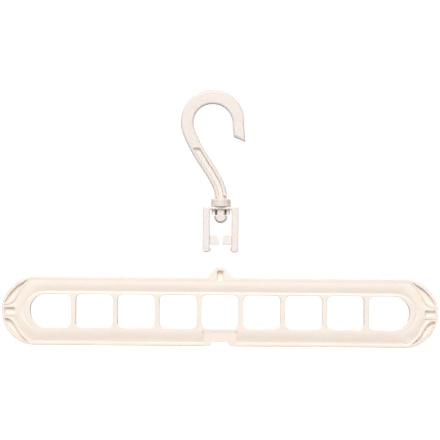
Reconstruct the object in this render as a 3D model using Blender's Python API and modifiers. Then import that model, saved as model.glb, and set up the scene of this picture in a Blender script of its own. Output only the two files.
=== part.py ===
"""Nine-hole clothes hanger: a moulded bar, a swivel hook and the clip that joins them.

Frame: X along the bar, the front of the bar towards -Y, Z up. The bar stands on its
bottom edge at Z = 0, centred on X = 0 and Y = 0. The hook and its clip are off the bar,
straight above the ear that the clip snaps onto.
"""
import math

import bmesh
import bpy
from mathutils import Matrix, Vector
from mathutils.geometry import interpolate_bezier

MM = 0.001

# Bar
BAR_LENGTH = 375.0 * MM
BAR_HEIGHT = 59.0 * MM
BAR_THICKNESS = 10.0 * MM
RAIL_HEIGHT = 15.1 * MM          # from the outline to a window
OUTER_RIM = 1.7 * MM
INNER_RIM = 2.3 * MM
RIM_FLANK = 1.2 * MM             # sloping side of a rim, down to the face
SKIN = 1.8 * MM                  # wall behind the crowned face
GROOVE_DEPTH = 0.8 * MM          # face below the rims, beside them
CROWN_DEPTH = 0.05 * MM          # face below the rims, at its crown
CROWN_SHAPE = 2.0                # higher makes the crown flatter and its sides steeper
EDGE_ROUND = 0.5 * MM

# Windows
WINDOW_COUNT = 9
WEB_WIDTH = 4.1 * MM
WEB_WALL = 1.3 * MM              # each side of a web, where its back is cored out
END_WINDOW_WIDTH = 36.25 * MM
END_LAND = 23.3 * MM             # from an end window to the end of the bar
WINDOW_CORNER = 5.0 * MM
RIB = 1.6 * MM                   # cross ribs behind the rails

# Pegs of the clip and the sockets that take them
PEG_WIDTH = 4.6 * MM
PEG_HEIGHT = 8.2 * MM
PEG_CLEARANCE = 0.3 * MM
SOCKET_WEB = 2.2 * MM            # wall left between a front and a back socket
SOCKET_WALL = 2.0 * MM
BOSS_CORNER = 2.4 * MM
END_BRIDGE = 2.6 * MM            # from an end socket to the tip of the bar

# Ear at the top of the bar
EAR_HEIGHT = 9.4 * MM
EAR_TOP_WIDTH = 6.6 * MM
EAR_SPREAD = 7.4 * MM            # how much wider the foot is, each side
EAR_CROSSBAR = 3.4 * MM
EAR_TOP_ROUND = 2.6 * MM
EAR_FOOT_ROUND = 5.0 * MM

# Lens-shaped pockets between the end rims and their lips
POCKET_FROM = math.radians(14.0)
POCKET_TO = math.radians(76.0)
POCKET_WIDTH = 5.0 * MM
POCKET_SKEW = 0.5                # below 1 moves the widest place towards the tip of the bar
POCKET_RIM = 1.2 * MM            # how much the rim widens along a pocket
POCKET_DEPTH = 2.8 * MM
POCKET_FLOOR = 1.6 * MM
LIP = 1.3 * MM
LIP_SPREAD = math.radians(4.0)   # how far a lip runs past the ends of its pocket

# Block and notch at the bottom
BLOCK_WIDTH = 27.0 * MM
BLOCK_RIB = 1.7 * MM
BLOCK_SINK = 0.7 * MM
BLOCK_GROOVE = 1.4 * MM
BLOCK_FOOT = 2.5 * MM            # from the bottom edge up to the grooves
BLOCK_STEP = 0.2 * MM            # grooves below the deepest of the crowned face
NOTCH_WIDTH = 13.4 * MM
NOTCH_FLARE = 2.2 * MM           # how much wider the mouth is, each side
NOTCH_HEIGHT = 3.6 * MM
NOTCH_WALL = 1.4 * MM

# Clip
CLIP_SIDE_GAP = 4.6 * MM         # between a leg and a face of the bar
CLIP_LEG = 5.6 * MM
CLIP_HEIGHT = 39.2 * MM
CLIP_CROSSBAR = 2.6 * MM
CLIP_DEPTH = 12.0 * MM
CLIP_CORNER = 1.4 * MM
CLIP_FOOT_ROUND = 2.4 * MM
CLIP_HEEL_ROUND = 1.2 * MM       # on the inner side of a foot
CLIP_ROUND = 0.6 * MM
PEG_ABOVE_FOOT = 6.4 * MM
PEG_TIP_SLOPE = 1.4 * MM         # a peg is this much longer at its lower side
PEG_CORNER = 0.4 * MM
TOE_LENGTH = 1.7 * MM
TOE_HEIGHT = 5.0 * MM
TOE_WIDTH = 6.0 * MM
LIFT = 18.7 * MM                 # from the top of the ear up to the pegs

# Swivel
PIN_RADIUS = 4.6 * MM
PIN_CLEARANCE = 0.3 * MM
PIN_WAIST = 5.9 * MM             # between the flats under the crossbar
PIN_SLOT = 1.4 * MM
HEAD_RADIUS = 5.6 * MM
HEAD_NECK = 5.0 * MM             # from the crossbar down to the shoulder of the head
LUG_LENGTH = 4.6 * MM
LUG_OUTER_RADIUS = 7.8 * MM
LUG_WIDTH = 5.2 * MM
COLLAR_RADIUS = 8.5 * MM
COLLAR_HEIGHT = 6.3 * MM
COLLAR_GROOVE = 0.35 * MM
SWIVEL_EDGE = 0.5 * MM           # chamfers of the collar and of the head
HEAD_RIM = 1.1 * MM              # upright rim of the head, above its round end
SEAT_GAP = 0.3 * MM

# Hook
HOOK_INNER_RADIUS = 17.25 * MM
HOOK_OFFSET = -7.45 * MM         # of the arch's centre from the swivel axis
HOOK_RISE = 64.0 * MM            # of the arch's centre over the foot of the stem
HOOK_THICKNESS = 6.6 * MM
HOOK_ROUND = 1.7 * MM
WIDTH_TIP = 9.8 * MM
WIDTH_TOP = 12.4 * MM
WIDTH_STEM = 10.8 * MM
WIDTH_FOOT = 10.4 * MM
TIP_DROP = 12.3 * MM             # of the tip under the arch's centre
TIP_LEAN = math.radians(5.7)
TIP_CUT = math.radians(27.0)
STEM_LEAN = math.radians(21.3)   # where the arch runs into the stem
STEM_HANDLE_TOP = 28.3 * MM
STEM_HANDLE_FOOT = 16.2 * MM
CHANNEL_WIDTH = 5.5 * MM
CHANNEL_FOOT_WIDTH = 4.4 * MM
CHANNEL_DEPTH = 2.6 * MM
CHANNEL_DROP = 21.8 * MM         # of the channel's top under the arch's centre
NECK_RADIUS = 4.6 * MM
NECK_HEIGHT = 1.7 * MM

SAGITTA = 0.05 * MM              # how far a facet may cut inside its arc
CLOSE = 0.02 * MM                # points nearer than this are one
WINDOW_FACETS = 8                # to each corner of a window
PAST = 1.0 * MM                  # how far a cutter runs past what it cuts

# Sizes worked out from those above
HALF = BAR_THICKNESS / 2
MID_Z = BAR_HEIGHT / 2
END_RADIUS = BAR_HEIGHT / 2
END_CENTRE = BAR_LENGTH / 2 - END_RADIUS
WINDOW_HEIGHT = BAR_HEIGHT - 2 * RAIL_HEIGHT
WINDOW_END = BAR_LENGTH / 2 - END_LAND
END_WINDOW_CENTRE = WINDOW_END - WINDOW_HEIGHT / 2
INNER_COUNT = WINDOW_COUNT - 2
INNER_SPAN = 2 * (WINDOW_END - END_WINDOW_WIDTH)
WINDOW_WIDTH = (INNER_SPAN - (INNER_COUNT + 1) * WEB_WIDTH) / INNER_COUNT
PITCH = WINDOW_WIDTH + WEB_WIDTH
WINDOW_CENTRES = [(i - (INNER_COUNT - 1) / 2) * PITCH for i in range(INNER_COUNT)]
WEB_CENTRES = [(i - INNER_COUNT / 2) * PITCH for i in range(INNER_COUNT + 1)]
END_RIB_X = END_WINDOW_CENTRE - RIB
RIM_RADIUS = END_RADIUS - OUTER_RIM
SOCKET_WIDTH = PEG_WIDTH + 2 * PEG_CLEARANCE
SOCKET_LENGTH = PEG_HEIGHT + 2 * PEG_CLEARANCE
EAR_TOP_Z = BAR_HEIGHT + EAR_HEIGHT
BLOCK_EDGE = BLOCK_WIDTH / 2
CLIP_INNER = BAR_THICKNESS + 2 * CLIP_SIDE_GAP
CLIP_OUTER = CLIP_INNER + 2 * CLIP_LEG
CLIP_FOOT_Z = EAR_TOP_Z + LIFT - PEG_ABOVE_FOOT
CLIP_TOP_Z = CLIP_FOOT_Z + CLIP_HEIGHT
PEG_FOOT_Z = CLIP_FOOT_Z + PEG_ABOVE_FOOT
CROSSBAR_Z = CLIP_TOP_Z - CLIP_CROSSBAR
HOLE_RADIUS = PIN_RADIUS + PIN_CLEARANCE
COLLAR_FOOT_Z = CLIP_TOP_Z + SEAT_GAP
STEM_FOOT_Z = COLLAR_FOOT_Z + COLLAR_HEIGHT + NECK_HEIGHT
HOOK_CENTRE = Vector((HOOK_OFFSET, STEM_FOOT_Z + HOOK_RISE))
HOOK_RADIUS = HOOK_INNER_RADIUS + WIDTH_TIP / 2
CHANNEL_TOP_Z = HOOK_CENTRE.y - CHANNEL_DROP


def start_collections():
    """Empty the scene, and return the collections for the parts and for the cutters."""
    for old in list(bpy.data.objects):
        bpy.data.objects.remove(old, do_unlink=True)
    found = []
    for name in ("nine_hole_hanger", "cutters"):
        collection = bpy.data.collections.new(name)
        bpy.context.scene.collection.children.link(collection)
        found.append(collection)
    return found


def moulded_plastic(name, colour, roughness):
    """Ivory polypropylene with a satin moulded face."""
    material = bpy.data.materials.new(name)
    material.use_nodes = True
    shader = material.node_tree.nodes["Principled BSDF"]
    shader.inputs["Base Color"].default_value = (*colour, 1.0)
    shader.inputs["Roughness"].default_value = roughness
    shader.inputs["Metallic"].default_value = 0.0
    return material


# Outlines, as lists of (x, z) points

def arc(centre, radius, start, end, steps=0):
    """Points along an arc, both ends included, close enough to keep to SAGITTA."""
    if not steps:
        step = 2 * math.acos(max(0.5, 1 - SAGITTA / radius))
        steps = max(1, math.ceil(abs(end - start) / step))
    angles = [start + (end - start) * i / steps for i in range(steps + 1)]
    return [(centre[0] + radius * math.cos(a), centre[1] + radius * math.sin(a)) for a in angles]


def rounded(corners, steps=0):
    """An outline from (x, z, radius) corners, with a tangent arc at each one."""
    points = []
    for i, (x, z, radius) in enumerate(corners):
        here = Vector((x, z))
        before = (Vector(corners[i - 1][:2]) - here).normalized()
        after = (Vector(corners[(i + 1) % len(corners)][:2]) - here).normalized()
        half_angle = before.angle(after) / 2
        centre = here + (before + after).normalized() * radius / math.sin(half_angle)
        start = here + before * radius / math.tan(half_angle) - centre
        end = here + after * radius / math.tan(half_angle) - centre
        turn = start.angle_signed(end)
        first = math.atan2(start.y, start.x)
        points += arc(centre, radius, first, first - turn, steps)
    return [point for i, point in enumerate(points) if math.dist(point, points[i - 1]) > CLOSE]


def mirrored(points):
    """The same outline on the other side of the YZ plane."""
    return [(-x, z) for x, z in reversed(points)]


# Solids

def link_mesh(name, mesh, collection):
    obj = bpy.data.objects.new(name, mesh)
    collection.objects.link(obj)
    return obj


def extruded(name, outlines, y_from, y_to, collection, edge=0.0, edge_facets=0):
    """A flat shape in the XZ plane, from y_from to y_to, with its edges rounded by edge."""
    curve = bpy.data.curves.new(name, "CURVE")
    curve.dimensions = "2D"
    curve.fill_mode = "BOTH"
    curve.extrude = (y_to - y_from) / 2 - edge
    curve.bevel_depth = edge
    curve.bevel_resolution = edge_facets
    curve.offset = -edge
    for outline in outlines:
        spline = curve.splines.new("POLY")
        spline.points.add(len(outline) - 1)
        for point, (x, z) in zip(spline.points, outline):
            point.co = (x, z, 0.0, 1.0)
        spline.use_cyclic_u = True
    flat = bpy.data.objects.new(name, curve)
    flat.rotation_euler = (math.pi / 2, 0.0, 0.0)
    flat.location = (0.0, (y_from + y_to) / 2, 0.0)
    collection.objects.link(flat)
    bpy.context.view_layer.update()
    evaluated = flat.evaluated_get(bpy.context.evaluated_depsgraph_get())
    mesh = bpy.data.meshes.new_from_object(evaluated)
    mesh.transform(flat.matrix_world)
    bpy.data.objects.remove(flat, do_unlink=True)
    weld(mesh)
    return link_mesh(name, mesh, collection)


def weld(mesh):
    """Join loose caps, drop slivers and turn every face outwards."""
    shape = bmesh.new()
    shape.from_mesh(mesh)
    bmesh.ops.remove_doubles(shape, verts=shape.verts, dist=0.000005)
    bmesh.ops.dissolve_degenerate(shape, edges=shape.edges, dist=0.000005)
    bmesh.ops.recalc_face_normals(shape, faces=shape.faces)
    shape.to_mesh(mesh)
    shape.free()


def box(name, low, high, collection):
    shape = bmesh.new()
    bmesh.ops.create_cube(shape, size=1.0)
    size = [b - a for a, b in zip(low, high)]
    centre = [(a + b) / 2 for a, b in zip(low, high)]
    bmesh.ops.scale(shape, vec=size, verts=shape.verts)
    bmesh.ops.translate(shape, vec=centre, verts=shape.verts)
    mesh = bpy.data.meshes.new(name)
    shape.to_mesh(mesh)
    shape.free()
    return link_mesh(name, mesh, collection)


def cylinder(name, radius, z_from, z_to, collection):
    shape = bmesh.new()
    turn = Matrix.Translation((0.0, 0.0, (z_from + z_to) / 2))
    bmesh.ops.create_cone(shape, cap_ends=True, segments=48, radius1=radius, radius2=radius,
                          depth=z_to - z_from, matrix=turn)
    mesh = bpy.data.meshes.new(name)
    shape.to_mesh(mesh)
    shape.free()
    return link_mesh(name, mesh, collection)


def lofted(name, sections, collection):
    """A closed solid through a row of sections that have the same number of points."""
    shape = bmesh.new()
    rows = [[shape.verts.new(point) for point in section] for section in sections]
    for row, following in zip(rows, rows[1:]):
        for i in range(len(row)):
            j = (i + 1) % len(row)
            shape.faces.new((row[i], row[j], following[j], following[i]))
    shape.faces.new(list(reversed(rows[0])))
    shape.faces.new(rows[-1])
    bmesh.ops.triangulate(shape, faces=shape.faces)
    bmesh.ops.recalc_face_normals(shape, faces=shape.faces)
    mesh = bpy.data.meshes.new(name)
    shape.to_mesh(mesh)
    shape.free()
    return link_mesh(name, mesh, collection)


def turned(name, profile, collection, segments=48):
    """A profile of (radius, z) points, top to bottom, turned about Z."""
    shape = bmesh.new()
    verts = [shape.verts.new((radius, 0.0, z)) for radius, z in profile]
    for a, b in zip(verts, verts[1:]):
        shape.edges.new((a, b))
    mesh = bpy.data.meshes.new(name)
    shape.to_mesh(mesh)
    shape.free()
    obj = link_mesh(name, mesh, collection)
    screw = obj.modifiers.new("turn", "SCREW")
    screw.steps = segments
    screw.render_steps = segments
    screw.use_merge_vertices = True
    screw.merge_threshold = 0.00001
    return obj


def combine(obj, others, operation):
    """Join others to obj, or cut them from it, and keep the result as its mesh."""
    for other in others:
        other.hide_render = True
        other.display_type = "WIRE"
        boolean = obj.modifiers.new(other.name, "BOOLEAN")
        boolean.operation = operation
        boolean.object = other
        boolean.solver = "MANIFOLD"      # EXACT leaves open edges on the long flat faces
    freeze(obj)
    for other in others:
        bpy.data.objects.remove(other, do_unlink=True)


def freeze(obj):
    """Replace an object's mesh by what its modifiers make of it."""
    bpy.context.view_layer.update()
    evaluated = obj.evaluated_get(bpy.context.evaluated_depsgraph_get())
    mesh = bpy.data.meshes.new_from_object(evaluated)
    weld(mesh)
    obj.modifiers.clear()
    obj.data = mesh


def finish(obj, material):
    """Give the piece its material and smooth its round faces."""
    mesh = obj.data
    mesh.materials.clear()
    mesh.materials.append(material)
    mesh.shade_smooth()
    mesh.set_sharp_from_angle(angle=math.radians(35.0))


# Bar

def bar_outline():
    """The outside of the bar, with the ear on its top edge."""
    top = EAR_TOP_WIDTH / 2
    foot = top + EAR_SPREAD
    half_length = BAR_LENGTH / 2
    return rounded([
        (-half_length, 0.0, END_RADIUS), (-half_length, BAR_HEIGHT, END_RADIUS),
        (-foot, BAR_HEIGHT, EAR_FOOT_ROUND), (-top, EAR_TOP_Z, EAR_TOP_ROUND),
        (top, EAR_TOP_Z, EAR_TOP_ROUND), (foot, BAR_HEIGHT, EAR_FOOT_ROUND),
        (half_length, BAR_HEIGHT, END_RADIUS), (half_length, 0.0, END_RADIUS)])


def window_cutter(left, right, left_round, right_round):
    """One window right through the bar, its edges eased at the front and at the back."""
    low = RAIL_HEIGHT
    high = BAR_HEIGHT - RAIL_HEIGHT
    sections = []
    for y, grow in ((-HALF - EDGE_ROUND, 2 * EDGE_ROUND), (EDGE_ROUND - HALF, 0.0),
                    (HALF - EDGE_ROUND, 0.0), (HALF + EDGE_ROUND, 2 * EDGE_ROUND)):
        near_round = left_round + grow
        far_round = right_round + grow
        corners = [(left - grow, low - grow, near_round), (left - grow, high + grow, near_round),
                   (right + grow, high + grow, far_round), (right + grow, low - grow, far_round)]
        sections.append([(x, y, z) for x, z in rounded(corners, WINDOW_FACETS)])
    return lofted("window", sections, cutter_collection)


def window_cutters():
    """Seven alike, and a D-shaped one at each end."""
    half = WINDOW_WIDTH / 2
    cutters = [window_cutter(x - half, x + half, WINDOW_CORNER, WINDOW_CORNER)
               for x in WINDOW_CENTRES]
    near = WINDOW_END - END_WINDOW_WIDTH
    bow = WINDOW_HEIGHT / 2
    cutters.append(window_cutter(near, WINDOW_END, WINDOW_CORNER, bow))
    cutters.append(window_cutter(-WINDOW_END, -near, bow, WINDOW_CORNER))
    return cutters


def lens_edge(angle, spread, depth):
    """A curve that leaves the rim by up to depth over the pockets, widened by spread."""
    share = (abs(angle) - POCKET_FROM + spread) / (POCKET_TO - POCKET_FROM + 2 * spread)
    if not 0.0 < share < 1.0:
        return RIM_RADIUS
    return RIM_RADIUS - depth * math.sin(math.pi * share ** POCKET_SKEW) - rim_growth(share)


def rim_growth(share):
    """How much wider the rim is, along a pocket from its low end (0) to its high end (1)."""
    return POCKET_RIM * math.sin(math.pi / 2 * min(1.0, 2 * share, 5 * (1 - share)))


def face_edges(angle):
    """The outer and the inner edge of the crowned face, at an angle round the right end."""
    outer = lens_edge(angle, LIP_SPREAD, POCKET_WIDTH + LIP)
    inner = WINDOW_HEIGHT / 2 + INNER_RIM
    direction = Vector((math.cos(angle), math.sin(angle)))
    return (Vector((END_CENTRE, MID_Z)) + outer * direction,
            Vector((END_WINDOW_CENTRE, MID_Z)) + inner * direction)


def rail_edges(x, side):
    """The same two edges on a straight rail: side is 1 for the top one, -1 for the bottom."""
    return (Vector((x, MID_Z + side * RIM_RADIUS)),
            Vector((x, MID_Z + side * (WINDOW_HEIGHT / 2 + INNER_RIM))))


def end_stations():
    """Edges round the right end, from the bottom rail up to the top one."""
    steps = 30
    angles = [math.pi * (i / steps - 0.5) for i in range(steps + 1)]
    return [face_edges(angle) for angle in angles]


def flipped(stations):
    return [tuple(Vector((-edge.x, edge.y)) for edge in pair) for pair in reversed(stations)]


def face_section(edges, y_open, sink):
    """A section of the space over or under the crowned face, open towards y_open."""
    outer, inner = edges
    flank = RIM_FLANK / (outer - inner).length
    steps = 6
    section = [(outer.x, sink - CLOSE - HALF, outer.y)]
    for i in range(steps + 1):
        point = outer.lerp(inner, flank + (1 - 2 * flank) * i / steps)
        bow = abs(2 * i / steps - 1) ** CROWN_SHAPE
        depth = CROWN_DEPTH + (GROOVE_DEPTH - CROWN_DEPTH) * bow + sink
        section.append((point.x, depth - HALF, point.y))
    section.append((inner.x, sink - CLOSE - HALF, inner.y))
    section.append((inner.x, y_open, inner.y))
    section.append((outer.x, y_open, outer.y))
    return section


def face_cutter(name, stations, y_open, sink):
    return lofted(name, [face_section(edges, y_open, sink) for edges in stations],
                  cutter_collection)


def front_face_cutter():
    """The space in front of the crowned face, right round the bar from block side to side."""
    start = BLOCK_EDGE + BLOCK_GROOVE / 2
    right = [rail_edges(start, -1), rail_edges(END_RIB_X, -1), *end_stations(),
             rail_edges(END_RIB_X, 1)]
    return face_cutter("face", right + flipped(right), -HALF - PAST, 0.0)


def back_cells():
    """The hollows behind the face, with a cross rib between each two."""
    stops = [-END_RIB_X, *WINDOW_CENTRES, END_RIB_X]
    cells = []
    for side in (1, -1):
        middle = SOCKET_WIDTH / 2 + SOCKET_WALL if side == 1 else BLOCK_EDGE + RIB / 2
        for left, right in zip(stops, stops[1:]):
            left += middle if abs(left) < RIB else RIB / 2
            right -= middle if abs(right) < RIB else RIB / 2
            stations = [rail_edges(left, side), rail_edges(right, side)]
            cells.append(face_cutter("cell", stations, HALF + PAST, SKIN))
    end = [rail_edges(END_RIB_X + RIB / 2, -1), *end_stations(),
           rail_edges(END_RIB_X + RIB / 2, 1)]
    cells.append(face_cutter("end_cell", end, HALF + PAST, SKIN))
    cells.append(face_cutter("end_cell", flipped(end), HALF + PAST, SKIN))
    return cells


def web_cores():
    """Slots that core out the webs from behind, from one rail's hollow to the other's."""
    reach = WINDOW_HEIGHT / 2 + INNER_RIM + PAST
    half_width = WEB_WIDTH / 2 - WEB_WALL
    return [box("web_core", (x - half_width, SKIN - HALF, MID_Z - reach),
                (x + half_width, HALF + PAST, MID_Z + reach), cutter_collection)
            for x in WEB_CENTRES]


def pocket_outline():
    """The lens between the rim and the lip, over the middle of the right end."""
    steps = 12
    angles = [POCKET_FROM + (POCKET_TO - POCKET_FROM) * i / steps for i in range(steps + 1)]
    sides = [[(END_CENTRE + radius * math.cos(angle), MID_Z + radius * math.sin(angle))
              for angle, radius in zip(angles, [lens_edge(angle, 0.0, depth) for angle in angles])]
             for depth in (0.0, POCKET_WIDTH)]
    return sides[0] + sides[1][-2:0:-1]


def pockets():
    """Four lenses, each sunk from the front and cored from the back, with a floor between."""
    upper_right = pocket_outline()
    lower_right = [(x, BAR_HEIGHT - z) for x, z in reversed(upper_right)]
    outlines = [upper_right, lower_right, mirrored(upper_right), mirrored(lower_right)]
    found = []
    for outline in outlines:
        floor = POCKET_DEPTH - HALF
        found.append(extruded("pocket", [outline], -HALF - PAST, floor, cutter_collection))
        found.append(extruded("pocket", [outline], floor + POCKET_FLOOR, HALF + PAST,
                              cutter_collection))
    return found


def socket_bosses():
    """A boss inside each end of the bar, which carries the end sockets."""
    tip = BAR_LENGTH / 2 - OUTER_RIM / 2
    length = SOCKET_LENGTH + SOCKET_WALL + END_BRIDGE - OUTER_RIM / 2
    half_height = SOCKET_WIDTH / 2 + SOCKET_WALL
    right = rounded([(tip - length, MID_Z - half_height, BOSS_CORNER),
                     (tip - length, MID_Z + half_height, BOSS_CORNER),
                     (tip, MID_Z + half_height, OUTER_RIM / 4),
                     (tip, MID_Z - half_height, OUTER_RIM / 4)])
    inset = CROWN_DEPTH / 2
    return [extruded("boss", [outline], inset - HALF, HALF - inset, cutter_collection)
            for outline in (right, mirrored(right))]


def sockets():
    """Peg sockets in the ear and at both ends, front and back, with a web between them."""
    top = EAR_TOP_Z - EAR_CROSSBAR
    end = BAR_LENGTH / 2 - END_BRIDGE
    half_width = SOCKET_WIDTH / 2
    places = [(-half_width, half_width, top - SOCKET_LENGTH, top),
              (end - SOCKET_LENGTH, end, MID_Z - half_width, MID_Z + half_width),
              (-end, SOCKET_LENGTH - end, MID_Z - half_width, MID_Z + half_width)]
    found = []
    for left, right, low, high in places:
        for y_from, y_to in ((-HALF - PAST, -SOCKET_WEB / 2), (SOCKET_WEB / 2, HALF + PAST)):
            found.append(box("socket", (left, y_from, low), (right, y_to, high),
                             cutter_collection))
    return found


def block_cutters():
    """The sunk panel between the block's ribs, the grooves outside them, and the notch."""
    high = RAIL_HEIGHT - INNER_RIM
    inside = BLOCK_EDGE - BLOCK_RIB
    panel = box("panel", (-inside, -HALF - PAST, -PAST), (inside, BLOCK_SINK - HALF, high),
                cutter_collection)
    found = [panel]
    for side in (-1, 1):
        near, far = sorted((side * BLOCK_EDGE, side * (BLOCK_EDGE + BLOCK_GROOVE)))
        found.append(box("groove", (near, -HALF - PAST, BLOCK_FOOT),
                         (far, GROOVE_DEPTH + BLOCK_STEP - HALF, high), cutter_collection))
    half = NOTCH_WIDTH / 2
    mouth = half + NOTCH_FLARE
    notch = [(-mouth, -PAST), (-half, NOTCH_HEIGHT), (half, NOTCH_HEIGHT), (mouth, -PAST)]
    found.append(extruded("notch", [notch], -HALF - PAST, HALF + PAST, cutter_collection))
    found.append(box("block_core", (-inside, BLOCK_SINK + SKIN - HALF, NOTCH_HEIGHT + NOTCH_WALL),
                     (inside, HALF + PAST, high), cutter_collection))
    return found


def make_bar(material):
    bar = extruded("hanger_bar", [bar_outline()], -HALF, HALF, part_collection, EDGE_ROUND)
    combine(bar, [*window_cutters(), front_face_cutter()], "DIFFERENCE")
    combine(bar, [*back_cells(), *web_cores(), *pockets()], "DIFFERENCE")
    combine(bar, socket_bosses(), "UNION")
    combine(bar, sockets() + block_cutters(), "DIFFERENCE")
    finish(bar, material)


# Clip

def clip_outline():
    """The fork, seen from the front: crossbar above, legs with rounded feet."""
    inner = CLIP_INNER / 2
    outer = CLIP_OUTER / 2
    foot = CLIP_FOOT_Z
    heel = CLIP_HEEL_ROUND
    return rounded([
        (-outer, foot, CLIP_FOOT_ROUND), (-outer, CLIP_TOP_Z, CLIP_CORNER),
        (outer, CLIP_TOP_Z, CLIP_CORNER), (outer, foot, CLIP_FOOT_ROUND),
        (inner, foot, heel), (inner, CROSSBAR_Z, CLIP_CORNER),
        (-inner, CROSSBAR_Z, CLIP_CORNER), (-inner, foot, heel)])


def pegs_and_toes():
    """A peg and a toe on the inside of each leg, each sunk into it."""
    inner = CLIP_INNER / 2
    tip_low = SOCKET_WEB / 2 + PEG_CLEARANCE
    tip_high = tip_low + PEG_TIP_SLOPE
    top = PEG_FOOT_Z + PEG_HEIGHT
    root = inner + CLIP_LEG / 2
    peg = rounded([(tip_low, PEG_FOOT_Z, PEG_CORNER), (tip_high, top, PEG_CORNER),
                   (root, top, PEG_CORNER), (root, PEG_FOOT_Z, PEG_CORNER)])
    toe_tip = inner - TOE_LENGTH
    toe_foot = CLIP_FOOT_Z + TOE_LENGTH / 2
    toe_top = CLIP_FOOT_Z + TOE_HEIGHT
    toe = rounded([(toe_tip, toe_foot, PEG_CORNER), (toe_tip, toe_top - TOE_LENGTH, PEG_CORNER),
                   (root, toe_top, PEG_CORNER), (root, toe_foot, PEG_CORNER)])
    found = []
    for outline in (peg, mirrored(peg)):
        found.append(extruded("peg", [outline], -PEG_WIDTH / 2, PEG_WIDTH / 2,
                              cutter_collection))
    for outline in (toe, mirrored(toe)):
        found.append(extruded("toe", [outline], -TOE_WIDTH / 2, TOE_WIDTH / 2,
                              cutter_collection))
    return found


def lugs():
    """Two lugs under the crossbar, left and right of the pin, cut from one ring."""
    ring = cylinder("lugs", LUG_OUTER_RADIUS, CROSSBAR_Z - LUG_LENGTH,
                    CLIP_TOP_Z - CLIP_CROSSBAR / 2, cutter_collection)
    keep = box("lug_sides", (-CLIP_INNER, -LUG_WIDTH / 2, CROSSBAR_Z - LUG_LENGTH - PAST),
               (CLIP_INNER, LUG_WIDTH / 2, CLIP_TOP_Z), cutter_collection)
    combine(ring, [keep], "INTERSECT")
    return ring


def make_clip(material):
    clip = extruded("snap_clip", [clip_outline()], -CLIP_DEPTH / 2, CLIP_DEPTH / 2,
                    part_collection, CLIP_ROUND, 1)
    combine(clip, pegs_and_toes() + [lugs()], "UNION")
    bore = cylinder("bore", HOLE_RADIUS, CROSSBAR_Z - LUG_LENGTH - PAST, CLIP_TOP_Z + PAST,
                    cutter_collection)
    combine(clip, [bore], "DIFFERENCE")
    finish(clip, material)


# Hook

def hook_spine():
    """The middle line of the hook, from its tip round to its foot, with a width at each point."""
    arch = arc(HOOK_CENTRE, HOOK_RADIUS, -TIP_LEAN, math.pi + STEM_LEAN)
    start = Vector(arch[0])
    drop = Vector((math.sin(TIP_LEAN), -math.cos(TIP_LEAN)))
    end = start + drop * TIP_DROP
    top_share = math.pi / 2 / (math.pi + STEM_LEAN)
    spine = [(end, WIDTH_TIP)]
    for i, point in enumerate(arch):
        share = i / (len(arch) - 1)
        if share < top_share:
            width = WIDTH_TIP + (WIDTH_TOP - WIDTH_TIP) * math.sin(math.pi / 2 * share / top_share)
        else:
            fall = (share - top_share) / (1 - top_share)
            width = WIDTH_TOP + (WIDTH_STEM - WIDTH_TOP) * math.sin(math.pi / 2 * fall)
        spine.append((Vector(point), width))
    leave = Vector((math.sin(STEM_LEAN), -math.cos(STEM_LEAN)))
    foot = Vector((0.0, STEM_FOOT_Z))
    above = foot + Vector((0.0, STEM_HANDLE_FOOT))
    last = Vector(arch[-1])
    stem = interpolate_bezier(last, last + leave * STEM_HANDLE_TOP, above, foot, 15)
    for i, point in enumerate(stem[1:]):
        share = (i + 1) / (len(stem) - 1)
        spine.append((point.xy, WIDTH_STEM + (WIDTH_FOOT - WIDTH_STEM) * share))
    return spine


def spine_sides(spine, width_of):
    """Both sides of a band along the spine."""
    left, right = [], []
    for i, (point, width) in enumerate(spine):
        before = spine[max(i - 1, 0)][0]
        after = spine[min(i + 1, len(spine) - 1)][0]
        ahead = (after - before).normalized()
        across = Vector((-ahead.y, ahead.x)) * width_of(width) / 2
        left.append(point + across)
        right.append(point - across)
    return left, right


def hook_outline():
    """The hook from the front, its tip cut at a slant."""
    inner, outer = spine_sides(hook_spine(), lambda width: width)
    slant = math.tan(TIP_CUT) * WIDTH_TIP / 2
    outer[0].y -= slant
    inner[0].y += slant
    sink = Vector((0.0, -NECK_HEIGHT / 2))
    outline = outer + [outer[-1] + sink, inner[-1] + sink] + list(reversed(inner))
    return [(point.x, point.y) for point in outline]


def channels():
    """The channel down both faces of the stem."""
    stem = [entry for entry in hook_spine()[1:]
            if entry[0].y < CHANNEL_TOP_Z and entry[0].x < COLLAR_RADIUS]
    narrowing = (CHANNEL_WIDTH - CHANNEL_FOOT_WIDTH) / (WIDTH_STEM - WIDTH_FOOT)
    left, right = spine_sides(stem, lambda width: CHANNEL_WIDTH - (WIDTH_STEM - width) * narrowing)
    outline = [(point.x, point.y) for point in left + list(reversed(right))]
    half = HOOK_THICKNESS / 2
    return [extruded("channel", [outline], -half - PAST, CHANNEL_DEPTH - half, cutter_collection),
            extruded("channel", [outline], half - CHANNEL_DEPTH, half + PAST, cutter_collection)]


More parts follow.
